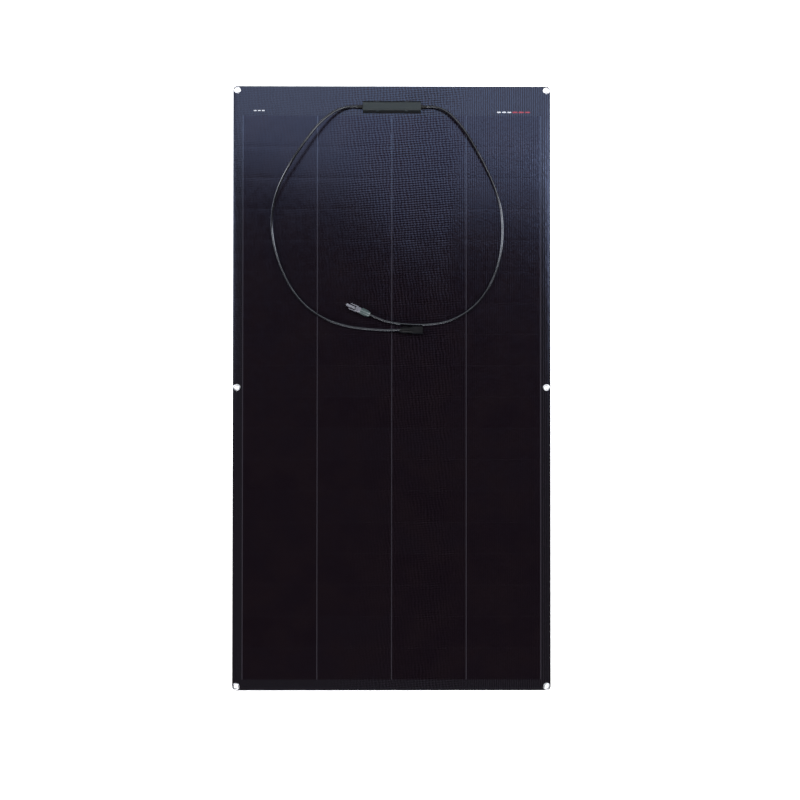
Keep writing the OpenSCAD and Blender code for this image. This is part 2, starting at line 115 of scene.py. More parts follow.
def swept_tube(bm, points, radius, sides=24):
    """A closed round tube along points, each ring turned as little as possible from the last."""
    along = [(b - a).normalized() for a, b in zip(points, points[1:])]
    headings = [along[0], *((a + b).normalized() for a, b in zip(along, along[1:])), along[-1]]
    side = headings[0].orthogonal()
    turns = [2 * math.pi * k / sides for k in range(sides)]
    rings = []
    for point, heading in zip(points, headings):
        side = (side - side.dot(heading) * heading).normalized()
        up = heading.cross(side)
        rings.append([bm.verts.new(point + radius * (math.cos(t) * side + math.sin(t) * up)) for t in turns])
    for a, b in zip(rings, rings[1:]):
        for k in range(sides):
            bm.faces.new((a[k], a[k - 1], b[k - 1], b[k]))
    bm.faces.new(rings[0])
    bm.faces.new(rings[-1][::-1])


def add_lead(name, route_mm, heading, node):
    """A free lead: straight out of the box, along its route, and straight into its connector."""
    route = [Vector(p) * mm for p in route_mm]
    tail = Vector((math.copysign(TAIL_X_MM, route_mm[0][0]), BOX_Y_MM, GLAND_Z_MM)) * mm
    seat = route[-1] + SEAT_MM * mm * heading
    points = smooth_path([tail, *route, seat], 4 * mm)
    bm = bmesh.new()
    swept_tube(bm, points, LEAD_DIAMETER / 2)
    bmesh.ops.recalc_face_normals(bm, faces=bm.faces)
    mesh = bpy.data.meshes.new(name)
    bm.to_mesh(mesh)
    bm.free()
    mesh.shade_smooth()
    mesh.set_sharp_from_angle(angle=math.radians(50))
    lead = bpy.data.objects.new(name, mesh)
    bpy.context.scene.collection.objects.link(lead)
    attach(lead, "head")
    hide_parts(node)
    return lead


left_lead = add_lead(
    "left_lead", LEFT_ROUTE_MM, Vector((1, 0, 0)), "lead_left")
right_lead = add_lead(
    "right_lead", RIGHT_ROUTE_MM, Vector((math.cos(SOCKET_ANGLE), math.sin(SOCKET_ANGLE), 0)),
    "lead_right")

# ---- sizes, given and read from the frame ----

STRETCHES = ["head", "1", "2", "3", "4"]
COLUMNS = 4
HEAD_ROWS = 8
COLUMN_GAP = 1.2 * mm
ROW_GAP = 0.4 * mm
CORNER_R = 9 * mm
PIECE_ROWS = [7, 3, 3, 3, 2]
LAYER_HOLE_R = 4.65 * mm
BARREL_R = 4.6 * mm
WASHER_SEAT_R = 7.1 * mm
STEP_ACROSS = 28 * mm
CELL_STEP_ACROSS = 60 * mm
STEP_ALONG = 12 * mm

film_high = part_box("front_film_head")[1]
half_w, half_l, face_z = film_high
cells_low, cells_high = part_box("cells_head")
column_pitch = (cells_high.x - cells_low.x + COLUMN_GAP) / COLUMNS
row_pitch = (cells_high.y - cells_low.y + ROW_GAP) / HEAD_ROWS
cells_top = cells_high.y + ROW_GAP / 2
cells_end = cells_top - sum(PIECE_ROWS) * row_pitch
field_half = COLUMNS / 2 * column_pitch


def eyelet_centres(node):
    """The centres of a node's two eyelets, and the radius of their flanges."""
    low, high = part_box(node)
    radius = (high.y - low.y) / 2
    return [(side * (high.x - radius), (high.y + low.y) / 2) for side in (-1, 1)], radius


EYELET_NODES = {0: "head", 1: "middle", 4: "end"}
eyelets = {i: eyelet_centres(f"eyelets_{where}")[0] for i, where in EYELET_NODES.items()}
flange_r = eyelet_centres("eyelets_head")[1]

# ---- node materials ----


class Shade:
    """A material whose shader nodes are added and linked by short calls."""

    def __init__(self, name, **constants):
        self.material = bpy.data.materials.new(name)
        self.material.use_nodes = True
        self.nodes = self.material.node_tree.nodes
        self.links = self.material.node_tree.links
        self.surface = self.nodes["Principled BSDF"]
        self.set(**constants)

    def put(self, socket, value):
        """Links a socket to another node's output, or sets it to a constant."""
        if isinstance(value, bpy.types.NodeSocket):
            self.links.new(value, socket)
        else:
            socket.default_value = value

    def set(self, **values):
        """Sets or links the shader's own sockets, named with _ for each space."""
        for key, value in values.items():
            self.put(self.surface.inputs[key.replace("_", " ")], value)

    def node(self, kind, inputs, **settings):
        made = self.nodes.new(kind)
        for key, value in settings.items():
            setattr(made, key, value)
        for key, value in inputs.items():
            self.put(made.inputs[key], value)
        return made

    def math(self, operation, a, b=0.0):
        return self.node("ShaderNodeMath", {0: a, 1: b}, operation=operation).outputs[0]

    def fade(self, value, start, end, low=0.0, high=1.0):
        """low before start and high after end, with a smooth step between."""
        inputs = {"Value": value, "From Min": start, "From Max": end, "To Min": low, "To Max": high}
        made = self.node("ShaderNodeMapRange", inputs, interpolation_type="SMOOTHSTEP")
        return made.outputs[0]

    def mix(self, factor, a, b):
        """The colour a at factor 0 and b at factor 1."""
        made = self.node("ShaderNodeMix", {}, data_type="RGBA")
        self.put(made.inputs[0], factor)
        self.put(made.inputs[6], a)
        self.put(made.inputs[7], b)
        return made.outputs[2]

    def place(self, scale=(1, 1, 1)):
        """Coordinates in metres on the piece, stretched by scale."""
        where = self.node("ShaderNodeTexCoord", {}).outputs["Object"]
        return self.node("ShaderNodeMapping", {"Vector": where, "Scale": scale}).outputs[0]

    def noise(self, where, scale, detail):
        inputs = {"Vector": where, "Scale": scale, "Detail": detail}
        return self.node("ShaderNodeTexNoise", inputs).outputs["Fac"]

    def bump(self, height, distance, strength=1.0, normal=None):
        inputs = {"Height": height, "Distance": distance, "Strength": strength}
        if normal is not None:
            inputs["Normal"] = normal
        return self.node("ShaderNodeBump", inputs).outputs[0]


def color(r, g, b):
    return (r, g, b, 1.0)


def scaled(rgba, factor):
    return color(*(factor * c for c in rgba[:3]))


def sheet_position(shade):
    """Where a point of the flat sheet lies at rest: x and y in millimetres."""
    uv = shade.node("ShaderNodeUVMap", {}, uv_map="rest_xy").outputs[0]
    split = shade.node("ShaderNodeSeparateXYZ", {"Vector": uv})
    x, y = (shade.math("MULTIPLY", split.outputs[k], 1 / mm) for k in (0, 1))
    return uv, x, y


def waves(shade, phase, pitch):
    """A sine wave along phase, from -1 to 1, that repeats every pitch."""
    return shade.math("SINE", shade.math("MULTIPLY", phase, 2 * math.pi / pitch))


def cell_pattern(shade, uv, x, y):
    """The film's colour over the cells, gaps and margin, and how much of each spot is a string gap."""
    down = shade.math("SUBTRACT", cells_top / mm, y)
    from_column = shade.math("PINGPONG", x, column_pitch / 2 / mm)
    from_row = shade.math("PINGPONG", down, row_pitch / 2 / mm)
    aside = shade.math("ABSOLUTE", x)
    from_middle = shade.math("ABSOLUTE", shade.math("SUBTRACT", y, (cells_top + cells_end) / 2 / mm))
    in_x = shade.fade(aside, field_half / mm - 0.8, field_half / mm - 0.4, 1.0, 0.0)
    half_field = (cells_top - cells_end) / 2 / mm
    in_y = shade.fade(from_middle, half_field - 0.4, half_field, 1.0, 0.0)
    field = shade.math("MULTIPLY", in_x, in_y)
    column_line = shade.fade(from_column, 0.7, 1.3, 1.0, 0.0)
    row_line = shade.fade(from_row, 0.15, 0.4, 1.0, 0.0)

    # Each cell differs a little in tone, as black silicon does
    column = shade.math("FLOOR", shade.math("DIVIDE", x, column_pitch / mm))
    row = shade.math("FLOOR", shade.math("DIVIDE", down, row_pitch / mm))
    label = shade.node("ShaderNodeCombineXYZ", {0: column, 1: row}).outputs[0]
    chance = shade.node("ShaderNodeTexWhiteNoise", {"Vector": label}, noise_dimensions="2D").outputs[0]
    cell = shade.mix(chance, color(0.0091, 0.0054, 0.0082), color(0.0103, 0.0067, 0.0099))
    cloud = shade.noise(uv, 14, 3)
    cell = shade.mix(shade.fade(cloud, 0.35, 0.7), cell, color(0.0113, 0.0069, 0.0094))
    margin = color(0.0150, 0.0125, 0.0164)
    gap = color(0.0251, 0.0220, 0.0276)
    row_strength = 0.3
    string_gap = shade.math("MULTIPLY", column_line, in_y)
    tone = shade.mix(string_gap, shade.mix(field, margin, cell), gap)
    row_shown = shade.math("MULTIPLY", shade.math("MULTIPLY", row_line, field), row_strength)
    return shade.mix(row_shown, tone, gap), string_gap


def embossing(shade, uv, x, y):
    """Ribs along one side and a weave over the rest, both fainter towards the other side and the foot."""
    rising_pitch, falling_pitch, rib_pitch = 12.6, 10.2, 4.9
    across, climb, fall = 0.8, 1.3, 0.9
    sway_reach, border_reach = 9.0, 180
    sway = shade.math("MULTIPLY", shade.noise(uv, 35, 2), sway_reach)
    tilted = shade.math("ADD", shade.math("MULTIPLY", x, across), sway)
    rising = waves(shade, shade.math("ADD", tilted, shade.math("MULTIPLY", y, climb)), rising_pitch)
    falling = waves(shade, shade.math("SUBTRACT", tilted, shade.math("MULTIPLY", y, fall)), falling_pitch)
    weave = shade.math("MULTIPLY", rising, falling)
    knots = shade.fade(shade.noise(uv, 125, 1), 0.3, 0.7, 0.25, 1.0)
    rib = shade.math("MULTIPLY", waves(shade, x, rib_pitch), knots)

    # The ribs give way to the weave along an uneven border
    patch = shade.noise(uv, 9, 2)
    border = shade.math("ADD", x, shade.math("MULTIPLY", patch, border_reach))
    ribbed = shade.fade(border, 200, 270)
    emboss = shade.math("ADD", shade.math("MULTIPLY", weave, shade.math("SUBTRACT", 1.0, ribbed)),
                        shade.math("MULTIPLY", rib, ribbed))

    # Depth over the sheet: less on the left, in some patches and towards the foot
    depth = shade.fade(x, -190, 100, 0.12, 1.0)
    for share in (shade.fade(patch, 0.3, 0.65, 0.6, 1.0), shade.fade(y, -150, 560, 0.2, 0.95)):
        depth = shade.math("MULTIPLY", depth, share)
    speckle_share = 1.4
    relief = shade.math("MULTIPLY", emboss, depth)
    speckle = shade.math("MULTIPLY", shade.math("SUBTRACT", shade.noise(uv, 240, 2), 0.5), depth)
    return shade.math("ADD", relief, shade.math("MULTIPLY", speckle, speckle_share))


def film_material():
    """Dark embossed film. The cells under it show as a slightly deeper tone with pale gaps."""
    shade = Shade("embossed_film", Specular_IOR_Level=0.6, Specular_Tint=color(0.39, 0.57, 1.0))
    uv, x, y = sheet_position(shade)
    tone, string_gap = cell_pattern(shade, uv, x, y)
    shade.set(Base_Color=tone)
    height = embossing(shade, uv, x, y)
    ripple = shade.bump(shade.noise(uv, 6, 1), 0.004, 0.1)
    grain = shade.bump(shade.noise(uv, 900, 2), 0.00003, 0.5, ripple)
    shade.set(Normal=shade.bump(height, 0.00016, 0.85, grain))

    # Stands in for the shade in the grooves: they are made partly metallic, which darkens them.
    # The gaps between strings stay clear of it.
    clear_of_grooves = 3.0
    shown = shade.math("ADD", height, shade.math("MULTIPLY", string_gap, clear_of_grooves))
    shade.set(Metallic=shade.fade(shown, -0.35, 0.4, 0.82, 0.0))
    worn = shade.noise(uv, 60, 4)
    shade.set(Roughness=shade.fade(worn, 0.3, 0.75, 0.16, 0.2))
    return shade.material


def encapsulant_material():
    """Smoky clear plastic that shows only along the sheet's cut edge."""
    shade = Shade("encapsulant", IOR=1.48, Specular_IOR_Level=0.5, Coat_Weight=0.2)
    where = shade.place()
    streak = shade.noise(shade.place((1, 1, 30)), 40, 3)
    shade.set(Base_Color=shade.mix(streak, color(0.02, 0.02, 0.026), color(0.045, 0.046, 0.055)))
    shade.set(Roughness=shade.fade(shade.noise(where, 200, 2), 0.3, 0.7, 0.3, 0.5))
    shade.set(Normal=shade.bump(streak, 0.00008))
    return shade.material


def cell_material():
    """Black silicon with fine printed fingers across each strip."""
    shade = Shade("black_silicon", Specular_IOR_Level=0.6, Coat_Weight=0.3, Coat_Roughness=0.15)
    uv, x, _ = sheet_position(shade)
    finger = shade.fade(shade.math("PINGPONG", x, 0.75), 0.0, 0.12, 1.0, 0.0)
    silicon = shade.mix(shade.noise(uv, 25, 3), color(0.004, 0.005, 0.010), color(0.008, 0.009, 0.020))
    shade.set(Base_Color=shade.mix(finger, silicon, color(0.06, 0.065, 0.09)))
    shade.set(Roughness=shade.fade(finger, 0.0, 1.0, 0.28, 0.45))
    shade.set(Normal=shade.bump(finger, 0.00002))
    return shade.material


def back_sheet_material():
    """Matt black fibre-filled board: a fine square weave under a thin skin."""
    shade = Shade("fibre_back_sheet", Specular_IOR_Level=0.35)
    uv, x, y = sheet_position(shade)
    yarn = 2.4
    weave = shade.math("MULTIPLY", waves(shade, x, yarn), waves(shade, y, yarn))
    cloud = shade.noise(uv, 10, 4)
    tone = shade.mix(cloud, color(0.020, 0.020, 0.023), color(0.032, 0.032, 0.036))
    tone = shade.mix(shade.fade(weave, -1.0, 1.0, 0.0, 0.35), tone, color(0.050, 0.050, 0.056))
    shade.set(Base_Color=tone)
    height = shade.math("ADD", weave, shade.noise(uv, 700, 2))
    shade.set(Normal=shade.bump(height, 0.00005, 0.7))
    shade.set(Roughness=shade.fade(cloud, 0.3, 0.7, 0.55, 0.7))
    return shade.material


def metal_material(name, tone, roughness, brushed=(1, 1, 1)):
    """Bare metal with fine drawn lines, small scratches and a slightly uneven tone."""
    shade = Shade(name, Metallic=1.0)
    line = shade.noise(shade.place(brushed), 1400, 2)
    stain = shade.noise(shade.place(), 160, 4)
    shade.set(Base_Color=shade.mix(stain, scaled(tone, 0.82), tone))
    shade.set(Roughness=shade.fade(line, 0.3, 0.7, roughness - 0.06, roughness + 0.1))
    shade.set(Normal=shade.bump(line, 0.00001, 0.6))
    return shade.material


def moulded_material(name, tone, roughness, grain=1800, edge=1.7, sheen=0.4):
    """Moulded plastic: spark-eroded grain, a faint mottle, and edges rubbed paler."""
    shade = Shade(name, Specular_IOR_Level=sheen)
    where = shade.place()
    mottle = shade.noise(where, 90, 4)
    body = shade.mix(mottle, scaled(tone, 0.85), scaled(tone, 1.12))
    rounded = shade.node("ShaderNodeBevel", {"Radius": 0.0006}, samples=4).outputs[0]
    flat = shade.node("ShaderNodeNewGeometry", {}).outputs["Normal"]
    product = shade.node("ShaderNodeVectorMath", {0: rounded, 1: flat}, operation="DOT_PRODUCT")
    facing = product.outputs["Value"]
    rubbed = shade.math("MULTIPLY", shade.fade(facing, 0.82, 0.99, 1.0, 0.0),
                        shade.fade(shade.noise(where, 500, 3), 0.35, 0.65))
    shade.set(Base_Color=shade.mix(rubbed, body, scaled(tone, edge)))
    fine = shade.noise(where, grain, 2)
    shade.set(Normal=shade.bump(fine, 0.00003, 0.6))
    shade.set(Roughness=shade.fade(mottle, 0.3, 0.7, roughness - 0.05, roughness + 0.07))
    return shade.material


def sheath_material():
    """Satin black lead sheath with a faint fine grain and dull scuffs."""
    shade = Shade("lead_sheath", Specular_IOR_Level=0.7, Specular_Tint=color(0.88, 0.92, 1.0))
    where = shade.place()
    scuff = shade.fade(shade.noise(where, 45, 4), 0.5, 0.75)
    shade.set(Base_Color=shade.mix(scuff, color(0.007, 0.007, 0.009), color(0.013, 0.013, 0.016)))
    shade.set(Roughness=shade.math("ADD", 0.2, shade.math("MULTIPLY", scuff, 0.1)))
    shade.set(Normal=shade.bump(shade.noise(where, 1300, 3), 0.00003, 0.15))
    return shade.material


def ink_material(name, tone):
    """Screen-printed ink: a little thin in places, with the film's grain through it."""
    shade = Shade(name, Specular_IOR_Level=0.3)
    where = shade.place()
    thin = shade.fade(shade.noise(where, 1200, 3), 0.35, 0.6)
    shade.set(Base_Color=shade.mix(thin, scaled(tone, 0.6), tone))
    shade.set(Roughness=shade.fade(thin, 0.0, 1.0, 0.6, 0.45))
    shade.set(Normal=shade.bump(thin, 0.00003))
    return shade.material


MATERIALS = {
    "front_film": film_material(),
    "encapsulant": encapsulant_material(),
    "cell": cell_material(),
    "back_sheet": back_sheet_material(),
    "tinned_ribbon": metal_material("tinned_ribbon", color(0.72, 0.72, 0.73), 0.35, (1, 12, 1)),
    "eyelet_metal": metal_material("eyelet_metal", color(0.80, 0.80, 0.83), 0.34),
    # The box and lid are one black plastic. The lid's paler grey-green tone is a painted sheen of light on
    # its top, and the tray's deeper black is painted shade on the box's lower sides.
    "box_plastic": moulded_material("box_plastic", color(0.0045, 0.0055, 0.006), 0.5, sheen=0.25),
    "lid_plastic": moulded_material("lid_plastic", color(0.012, 0.018, 0.021), 0.48, sheen=0.3),
    "copper": metal_material("copper", color(0.86, 0.48, 0.32), 0.35, (1, 20, 1)),
    "diode_plastic": moulded_material("diode_plastic", color(0.015, 0.015, 0.016), 0.55),
    "black_rubber": moulded_material("black_rubber", color(0.012, 0.012, 0.013), 0.65, 900, 1.5, 0.3),
    "lead_sheath": sheath_material(),
    "socket_plastic": moulded_material("socket_plastic", color(0.15, 0.15, 0.178), 0.26, edge=1.5, sheen=1.0),
    "nut_plastic": moulded_material("nut_plastic", color(0.050, 0.074, 0.074), 0.32, edge=1.5, sheen=0.8),
    "plug_plastic": moulded_material("plug_plastic", color(0.004, 0.004, 0.005), 0.42, sheen=0.14),
    "plug_nut_plastic": moulded_material("plug_nut_plastic", color(0.005, 0.005, 0.006), 0.42, sheen=0.14),
    "cage_plastic": moulded_material("cage_plastic", color(0.62, 0.61, 0.56), 0.45, edge=1.2),
    "contact_metal": metal_material("contact_metal", color(0.88, 0.87, 0.84), 0.22),
}
LIGHT_INK = ink_material("light_ink", color(0.62, 0.64, 0.70))
RED_INK = ink_material("red_ink", color(0.33, 0.045, 0.075))

# ---- mesh tools ----


def new_piece(name, bm, slot, body=None, nodes=(), flat=False, sharp_deg=30):
    """Turns bm into a smooth-shaded object with the slot's material, and ties it to the frame."""
    bmesh.ops.recalc_face_normals(bm, faces=bm.faces)
    if flat:
        uv = bm.loops.layers.uv.new("rest_xy")
        for face in bm.faces:
            for loop in face.loops:
                loop[uv].uv = loop.vert.co.xy
    mesh = bpy.data.meshes.new(name)
    bm.to_mesh(mesh)
    bm.free()
    mesh.shade_smooth()
    mesh.set_sharp_from_angle(angle=math.radians(sharp_deg))
    mesh.materials.append(MATERIALS[slot])
    piece = bpy.data.objects.new(name, mesh)
    bpy.context.scene.collection.objects.link(piece)
    if nodes:
        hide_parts(*nodes)
    if body:
        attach(piece, body)
    return piece


def grid_lines(marks, step):
    """The marks in order, without near doubles, and with wide spaces divided into equal parts."""
    close = 0.04 * mm
    kept = []
    for value in sorted(marks):
        if not kept or value - kept[-1] > close:
            kept.append(value)
    lines = [kept[0]]
    for a, b in zip(kept, kept[1:]):
        parts = math.ceil((b - a) / step - 1e-6)
        lines += [a + (b - a) * k / parts for k in range(1, parts + 1)]
    return lines


def revolve(bm, profile, origin, axis, segments=48):
    """Adds a closed ring: profile's points are (radius, distance along axis)."""
    side = axis.orthogonal().normalized()
    up = axis.cross(side)
    rings = []
    for k in range(segments):
        angle = 2 * math.pi * k / segments
        out = math.cos(angle) * side + math.sin(angle) * up
        rings.append([bm.verts.new(origin + r * out + along * axis) for r, along in profile])
    for a, b in zip(rings, rings[1:] + rings[:1]):
        for i in range(len(profile)):
            j = (i + 1) % len(profile)
            bm.faces.new((a[i], b[i], b[j], a[j]))


def arc(centre, radii, start_deg, end_deg, steps):
    """Points on an ellipse's arc, ends included."""
    turns = [math.radians(start_deg + (end_deg - start_deg) * k / steps) for k in range(steps + 1)]
    return [(centre[0] + radii[0] * math.cos(t), centre[1] + radii[1] * math.sin(t)) for t in turns]


# ---- laminate ----


def seam_y(i):
    """The y where piece i of the laminate begins. Seams lie between rows, off the bends."""
    if i == 0:
        return half_l
    return -half_l if i == len(STRETCHES) else cells_top - sum(PIECE_ROWS[:i]) * row_pitch


def from_nearest(value, pitch, limit):
    """Distance from value to the nearest multiple of pitch from -limit to limit."""
    nearest = max(-limit, min(limit, pitch * round(value / pitch)))
    return abs(value - nearest)


def dip(distance, reach):
    """1 at distance 0, falling smoothly to 0 at reach."""
    t = max(0.0, 1 - distance / reach)
    return t * t * (3 - 2 * t)


def gap_distances(x, y):
    """Distances to the nearest gap between strings and to the nearest gap between rows."""
    margin, far = 3 * mm, 1.0
    column = from_nearest(x, column_pitch, field_half)
    middle = (cells_top + cells_end) / 2
    row = from_nearest(y - middle, row_pitch, (cells_top - cells_end) / 2)
    if abs(y - middle) > (cells_top - cells_end) / 2 + margin:
        column = far
    if abs(x) > field_half + margin:
        row = far
    return column, row


def edge_distance(x, y):
    """Distance in from the sheet's cut edge, round corners included."""
    inner_x, inner_y = half_w - CORNER_R - abs(x), half_l - CORNER_R - abs(y)
    if inner_x < 0 and inner_y < 0:
        return CORNER_R - math.hypot(inner_x, inner_y)
    return min(inner_x, inner_y) + CORNER_R


def film_height(x, y):
    """The film sinks a little into the gaps between cells, and rounds off at the cut edge."""
    column, row = gap_distances(x, y)
    edge = edge_distance(x, y)
    sink = 0.06 * dip(column, 2.6 * mm) + 0.02 * dip(row, 2.2 * mm) + 0.22 * dip(edge, 0.9 * mm)
    return face_z - min(sink, 0.25) * mm


def back_height(x, y):
    """The back sheet shows the gaps as shallow creases, and is cut back for the washers."""
    for place in (p for pair in eyelets.values() for p in pair):
        if math.dist(place, (x, y)) < WASHER_SEAT_R:
            return washer_z
    column, row = gap_distances(x, y)
    edge = edge_distance(x, y)
    return (0.07 * dip(column, 2.6 * mm) + 0.04 * dip(row, 2.2 * mm) + 0.2 * dip(edge, 0.6 * mm)) * mm


def gap_marks(position, offsets_mm):
    return [position + side * offset * mm for offset in offsets_mm for side in (-1, 1)]


def sheet_xs():
    """Lines along the sheet, the same for every layer so that seams meet point to point."""
    marks = []
    for k in range(-COLUMNS // 2, COLUMNS // 2 + 1):
        marks += gap_marks(k * column_pitch, (0.3, 0.6, 1.3, 2.6))
    for side in (-1, 1):
        marks += [side * (half_w - inset * mm) for inset in (0, 0.2, 0.45, 0.9)]
        marks += gap_marks(side * eyelets[0][1][0], (CORNER_R / mm,))
    return grid_lines(marks, STEP_ACROSS)


def sheet_ys(i):
    """Lines across piece i: its seams, row gaps, eyelets and enough steps to bend smoothly."""
    top, bottom = seam_y(i), seam_y(i + 1)
    marks = [top, bottom]
    rows = [cells_top - k * row_pitch for k in range(sum(PIECE_ROWS) + 1)]
    for y in rows:
        marks += gap_marks(y, (0.25, 0.8, 2.2)) + [y]
    for _, y in eyelets.get(i, []):
        marks += gap_marks(y, (CORNER_R / mm,))
    for side in (-1, 1):
        marks += [side * (half_l - inset * mm) for inset in (0.2, 0.45, 0.9)]
    return grid_lines([y for y in marks if bottom <= y <= top], STEP_ALONG)


def planned_faces(i, xs, ys):
    """The layer's outline as flat faces: a grid, with a ring of faces round each eyelet's hole."""
    near = CORNER_R + 0.01 * mm
    faces = []
    for x0, x1 in zip(xs, xs[1:]):
        for y0, y1 in zip(ys, ys[1:]):
            x, y = (x0 + x1) / 2, (y0 + y1) / 2
            if not any(max(abs(x - ex), abs(y - ey)) < near for ex, ey in eyelets.get(i, [])):
                faces.append([(x0, y0), (x1, y0), (x1, y1), (x0, y1)])
    for centre in eyelets.get(i, []):
        faces += eyelet_faces(centre, patch_outline(centre, xs, ys))
    return faces


def patch_outline(centre, xs, ys):
    """The square round an eyelet, through the grid's points, with the sheet's corner rounded."""
    cx, cy = centre
    reach = CORNER_R + 0.01 * mm
    near_xs = [x for x in xs if abs(x - cx) < reach]
    near_ys = [y for y in ys if abs(y - cy) < reach]
    points = [(x, y) for x in (near_xs[0], near_xs[-1]) for y in near_ys]
    points += [(x, y) for y in (near_ys[0], near_ys[-1]) for x in near_xs[1:-1]]
    if abs(cy) > half_l - 2 * CORNER_R:
        points = [(x, y) for x, y in points if min(abs(x) - abs(cx), abs(y) - abs(cy)) < 0.01 * mm]
        side, end = math.copysign(CORNER_R, cx), math.copysign(CORNER_R, cy)
        points += arc(centre, (side, end), 0, 90, 12)
    unique = {rounded_key(p): p for p in points}
    return sorted(unique.values(), key=lambda p: math.atan2(p[1] - cy, p[0] - cx))


def eyelet_faces(centre, outline):
    """Rings of faces from the outline in to the barrel, close together at the sheet's edge."""
    def spoke(point):
        away = math.dist(point, centre)
        radii = [away - inset * mm for inset in (0, 0.2, 0.45, 0.9)]
        radii += [WASHER_SEAT_R + 0.05 * mm, WASHER_SEAT_R - 0.05 * mm, LAYER_HOLE_R]
        return [point if r == away else tuple(c + (p - c) * r / away for p, c in zip(point, centre))
                for r in radii]

    spokes = [spoke(p) for p in outline]
    return [[a[k], a[k + 1], b[k + 1], b[k]] for a, b in zip(spokes, spokes[1:] + spokes[:1])
            for k in range(len(a) - 1)]


def rounded_key(point):
    return tuple(round(c, 6) for c in point)


def add_slab(bm, faces, top, bottom):
    """A closed layer: the faces at the top and bottom heights, and walls round every open edge."""
    corners = {}
    for face in faces:
        for p in face:
            corners.setdefault(rounded_key(p), p)
    upper = {key: bm.verts.new((*p, top(*p))) for key, p in corners.items()}
    lower = {key: bm.verts.new((*p, bottom(*p))) for key, p in corners.items()}
    open_edges = set()
    for face in faces:
        keys = [rounded_key(p) for p in face]
        bm.faces.new([upper[key] for key in keys])
        bm.faces.new([lower[key] for key in reversed(keys)])
        for a, b in zip(keys, keys[1:] + keys[:1]):
            if (b, a) in open_edges:
                open_edges.remove((b, a))
            elif (a, b) in open_edges:
                open_edges.remove((a, b))
            else:
                open_edges.add((a, b))
    for a, b in open_edges:
        bm.faces.new((upper[a], lower[a], lower[b], upper[b]))


def add_cells(bm, i):
    """The cells of piece i, each a thin tile with enough cross lines to bend."""
    low, high = cells_low.z, cells_high.z
    for column in range(COLUMNS):
        x0 = (column - COLUMNS / 2) * column_pitch + COLUMN_GAP / 2
        xs = grid_lines([x0, x0 + column_pitch - COLUMN_GAP], CELL_STEP_ACROSS)
        for row in range(PIECE_ROWS[i]):
            y1 = seam_y(i) if i else cells_top
            y1 -= row * row_pitch + ROW_GAP / 2
            ys = grid_lines([y1 - row_pitch + ROW_GAP, y1], STEP_ALONG)
            tile = [[(a, c), (b, c), (b, d), (a, d)] for a, b in zip(xs, xs[1:]) for c, d in zip(ys, ys[1:])]
            add_slab(bm, tile, lambda x, y: high, lambda x, y: low)


def bend(piece, i):
    """Piece i rides on the head; any other piece keeps its place baked into its mesh."""
    if i == 0:
        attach(piece, "head")
        return
    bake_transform(piece)


def level(z):
    return lambda x, y: z


film_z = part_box("front_film_head")[0].z
washer_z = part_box("washers_head")[1].z
rear_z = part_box("rear_encapsulant_head")[0].z
LAYERS = [
    ("film", "front_film", "front_film", film_height, level(film_z)),
    ("upper_filler", "front_encapsulant", "encapsulant", level(film_z), level(cells_high.z)),
    ("lower_filler", "rear_encapsulant", "encapsulant", level(cells_low.z), level(rear_z)),
    ("back", "back_sheet", "back_sheet", level(rear_z), back_height),
]
xs = sheet_xs()
for i, stretch in enumerate(STRETCHES):
    plan = planned_faces(i, xs, sheet_ys(i))
    for name, node, slot, top, bottom in LAYERS:
        bm = bmesh.new()
        add_slab(bm, plan, top, bottom)
        bend(new_piece(f"{name}_{stretch}", bm, slot, nodes=[f"{node}_{stretch}"], flat=True), i)
    bm = bmesh.new()
    add_cells(bm, i)
    bend(new_piece(f"cell_rows_{stretch}", bm, "cell", nodes=[f"cells_{stretch}"], flat=True), i)

# ---- eyelets and washers ----


def eyelet_profile():
    """A drawn barrel with a rolled flange on the face and a small flare at the back."""
    hole, barrel, tuck = 4.0 * mm, BARREL_R, 0.02 * mm
    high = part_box("eyelets_head")[1].z - face_z
    roll = (hole + flange_r) / 2
    crest = arc((roll, face_z), ((flange_r - hole) / 2, high), 180, 0, 14)
    flare = arc((hole + 0.35 * mm, 0.35 * mm), (0.35 * mm, 0.3 * mm), 270, 180, 4)
    under = face_z - tuck
    return [*flare, *crest, (flange_r - 0.3 * mm, under), (barrel, under), (barrel, 0.05 * mm)]


def washer_profile():
    """A flat ring with softened edges at the back."""
    inner, outer = BARREL_R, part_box("washers_head")[1].x - eyelets[0][1][0]
    high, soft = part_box("washers_head")[1].z, 0.15 * mm
    return [(inner, soft), (inner + soft, 0), (outer - soft, 0), (outer, soft), (outer, high), (inner, high)]


for i, where in EYELET_NODES.items():
    body = "head" if i == 0 else f"flex_{i}"
    for name, node, profile in (("rolled_eyelets", "eyelets", eyelet_profile()),
                                ("back_washers", "washers", washer_profile())):
        bm = bmesh.new()
        for x, y in eyelets[i]:
            revolve(bm, profile, Vector((x, y, 0)), Vector((0, 0, 1)), segments=64)
        new_piece(f"{name}_{where}", bm, "eyelet_metal", body, [f"{node}_{where}"], sharp_deg=50)

# ---- gland boots ----


def boot_profile(mouth, wall):
    """Radius against distance from the box's middle: a collar, four soft rings and a lip."""
    bore, neck = 2.9 * mm, 3.3 * mm
    rings = 4
    first, last = wall + 3.4 * mm, mouth - 1.2 * mm
    outline = [(bore, wall - 4.5 * mm), (neck, wall - 4.5 * mm), (neck, wall), (neck + 0.9 * mm, wall)]
    outline += [(neck + 0.9 * mm, wall + 2.4 * mm), (neck + 0.5 * mm, wall + 3 * mm)]
    pitch = (last - first) / rings
    for k in range(rings):
        crest = neck + (0.45 - 0.12 * k) * mm
        start = first + k * pitch
        outline += [(crest - 0.35 * mm, start), (crest, start + 0.25 * pitch), (crest, start + 0.6 * pitch),
                    (crest - 0.35 * mm, start + 0.85 * pitch)]
    return outline + [(neck - 0.05 * mm, last), (neck - 0.05 * mm, mouth - 0.2 * mm),
                      (neck - 0.25 * mm, mouth), (bore, mouth)]


